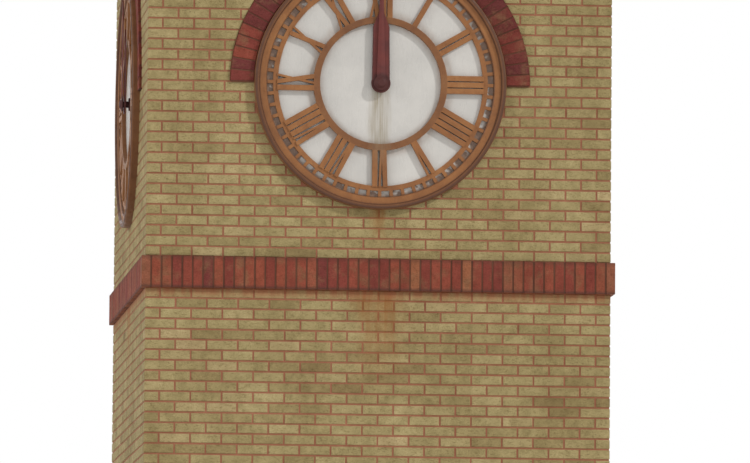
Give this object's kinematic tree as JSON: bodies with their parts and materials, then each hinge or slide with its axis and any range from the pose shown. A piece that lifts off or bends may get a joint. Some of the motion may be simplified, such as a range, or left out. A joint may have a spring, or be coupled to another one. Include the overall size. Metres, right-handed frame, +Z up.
{
  "type": "brick clock tower",
  "caption": "Square buff brick clock tower with red soldier bands, an arched dial with turning hands on each side, and a slated pyramid roof.",
  "frame": {"origin": "centre of the tower's base, at ground level", "axes": "+Z up, the front with the shown dial towards -Y, +X to its right"},
  "size_m": [4.1672, 4.1672, 13.7175],
  "materials": {
    "buff_brick": "matt buff facing brick with mortar joints",
    "red_brick": "matt red facing brick",
    "brown_casting": "brown paint, weathered",
    "opal_glass": "white opal glass",
    "maroon_hands": "maroon paint, weathered",
    "painted_timber": "brown painted softwood",
    "slate": "riven blue-grey slate",
    "grey_metal": "dull lead grey",
    "concrete": "plain concrete"
  },
  "bodies": {
    "tower": {"plinth": "red_brick", "front_wall": "buff_brick", "left_wall": "buff_brick", "right_wall": "buff_brick", "back_wall_left": "buff_brick", "back_wall_right": "buff_brick", "back_wall_over_door": "buff_brick", "lower_band": "red_brick", "upper_band": "red_brick", "top_wall": "buff_brick", "cornice": "red_brick", "front_clock_wall": "buff_brick", "right_clock_wall": "buff_brick", "back_clock_wall": "buff_brick", "left_clock_wall": "buff_brick", "front_arch": "red_brick", "right_arch": "red_brick", "back_arch": "red_brick", "left_arch": "red_brick", "front_dial": "brown_casting", "right_dial": "brown_casting", "back_dial": "brown_casting", "left_dial": "brown_casting", "front_glass": "opal_glass", "right_glass": "opal_glass", "back_glass": "opal_glass", "left_glass": "opal_glass", "door_step": "concrete", "door_frame": "painted_timber", "door_leaf": "painted_timber", "door_lintel": "red_brick", "ground_floor": "concrete", "eaves": "painted_timber", "roof": "slate", "hip_tiles": "slate", "finial": "grey_metal"},
    "front_minute_hand": {"front_minute_hand": "maroon_hands"},
    "front_hour_hand": {"front_hour_hand": "maroon_hands"},
    "right_minute_hand": {"right_minute_hand": "maroon_hands"},
    "right_hour_hand": {"right_hour_hand": "maroon_hands"},
    "back_minute_hand": {"back_minute_hand": "maroon_hands"},
    "back_hour_hand": {"back_hour_hand": "maroon_hands"},
    "left_minute_hand": {"left_minute_hand": "maroon_hands"},
    "left_hour_hand": {"left_hour_hand": "maroon_hands"}
  },
  "joints": [
    {"name": "front_minute_hand_turn", "type": "hinge", "parent": "tower", "child": "front_minute_hand", "pos_m": [0, -1.6825, 8.4], "axis": [0, 1, 0], "continuous": true},
    {"name": "front_hour_hand_turn", "type": "hinge", "parent": "tower", "child": "front_hour_hand", "pos_m": [0, -1.6825, 8.4], "axis": [0, 1, 0], "continuous": true},
    {"name": "right_minute_hand_turn", "type": "hinge", "parent": "tower", "child": "right_minute_hand", "pos_m": [1.6825, 0, 8.4], "axis": [-1, 0, 0], "continuous": true},
    {"name": "right_hour_hand_turn", "type": "hinge", "parent": "tower", "child": "right_hour_hand", "pos_m": [1.6825, 0, 8.4], "axis": [-1, 0, 0], "continuous": true},
    {"name": "back_minute_hand_turn", "type": "hinge", "parent": "tower", "child": "back_minute_hand", "pos_m": [0, 1.6825, 8.4], "axis": [0, -1, 0], "continuous": true},
    {"name": "back_hour_hand_turn", "type": "hinge", "parent": "tower", "child": "back_hour_hand", "pos_m": [0, 1.6825, 8.4], "axis": [0, -1, 0], "continuous": true},
    {"name": "left_minute_hand_turn", "type": "hinge", "parent": "tower", "child": "left_minute_hand", "pos_m": [-1.6825, 0, 8.4], "axis": [1, 0, 0], "continuous": true},
    {"name": "left_hour_hand_turn", "type": "hinge", "parent": "tower", "child": "left_hour_hand", "pos_m": [-1.6825, 0, 8.4], "axis": [1, 0, 0], "continuous": true}
  ],
  "couplings": [
    {"joint": "front_hour_hand_turn", "follows": "front_minute_hand_turn", "ratio": 0.083333},
    {"joint": "right_minute_hand_turn", "follows": "front_minute_hand_turn", "ratio": 1},
    {"joint": "right_hour_hand_turn", "follows": "front_minute_hand_turn", "ratio": 0.083333},
    {"joint": "back_minute_hand_turn", "follows": "front_minute_hand_turn", "ratio": 1},
    {"joint": "back_hour_hand_turn", "follows": "front_minute_hand_turn", "ratio": 0.083333},
    {"joint": "left_minute_hand_turn", "follows": "front_minute_hand_turn", "ratio": 1},
    {"joint": "left_hour_hand_turn", "follows": "front_minute_hand_turn", "ratio": 0.083333}
  ]
}
